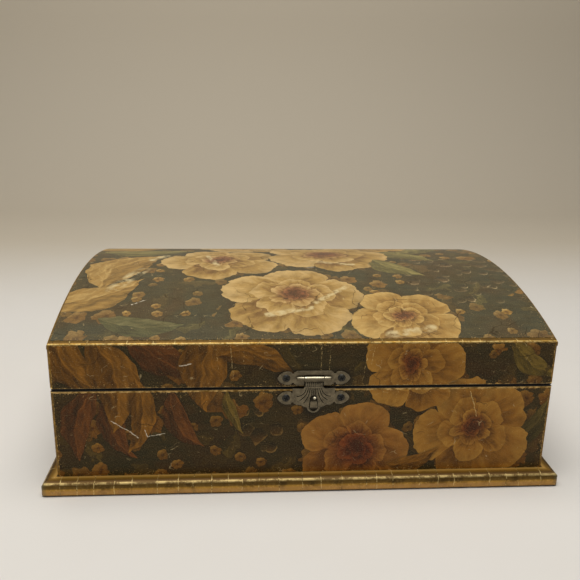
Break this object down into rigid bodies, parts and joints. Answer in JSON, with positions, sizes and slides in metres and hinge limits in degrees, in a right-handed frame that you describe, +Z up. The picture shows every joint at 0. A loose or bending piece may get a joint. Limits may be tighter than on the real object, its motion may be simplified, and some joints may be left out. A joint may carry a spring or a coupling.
{
  "type": "keepsake box",
  "caption": "Domed keepsake box in printed paper with gilded edges and plinth, a hinged lid that stops on its rear bevels, and a fan-shaped swing hasp over a catch.",
  "frame": {"origin": "centre of the plinth's underside, on the surface that the box stands on", "axes": "+X to the right along the box's length, +Y from the latch side to the hinge side, +Z up"},
  "size_m": [0.306, 0.236, 0.109],
  "materials": {
    "gilded_wood": "fibreboard with worn gilt paint on its edges",
    "printed_paper": "floral print under aged satin varnish",
    "felt": "matt felt",
    "antiqued_brass": "stamped, darkened, rubbed bright on its high edges",
    "blackened_steel": "blackened",
    "hinge_brass": "plain, slightly dulled"
  },
  "bodies": {
    "case": {"plinth_board": "gilded_wood", "case_front": "gilded_wood", "case_back": "gilded_wood", "case_left": "gilded_wood", "case_right": "gilded_wood", "case_front_print": "printed_paper", "case_back_print": "printed_paper", "case_left_print": "printed_paper", "case_right_print": "printed_paper", "floor_lining": "felt", "catch_plate": "antiqued_brass", "catch_plate_screws": "blackened_steel", "left_hinge_case_leaf": "hinge_brass", "right_hinge_case_leaf": "hinge_brass", "left_hinge_pin": "hinge_brass", "right_hinge_pin": "hinge_brass", "case_hinge_screws": "hinge_brass"},
    "lid": {"lid_front_rail": "gilded_wood", "lid_back_rail": "gilded_wood", "lid_left_end": "gilded_wood", "lid_right_end": "gilded_wood", "lid_top_panel": "gilded_wood", "lid_front_print": "printed_paper", "lid_back_print": "printed_paper", "lid_left_print": "printed_paper", "lid_right_print": "printed_paper", "lid_top_print": "printed_paper", "left_hinge_lid_leaf": "hinge_brass", "right_hinge_lid_leaf": "hinge_brass", "lid_hinge_screws": "hinge_brass", "hasp_plate": "antiqued_brass", "hasp_plate_screws": "blackened_steel", "hasp_pin": "antiqued_brass"},
    "hasp": {"hasp": "antiqued_brass"}
  },
  "joints": [
    {"name": "lid_hinge", "type": "hinge", "parent": "case", "child": "lid", "pos_m": [0, 0.1081, 0.06365], "axis": [-1, 0, 0], "range_deg": [0, 100]},
    {"name": "hasp_swing", "type": "hinge", "parent": "lid", "child": "hasp", "pos_m": [0.0036, -0.11182, 0.0702], "axis": [-1, 0, 0], "range_deg": [0, 170]}
  ]
}
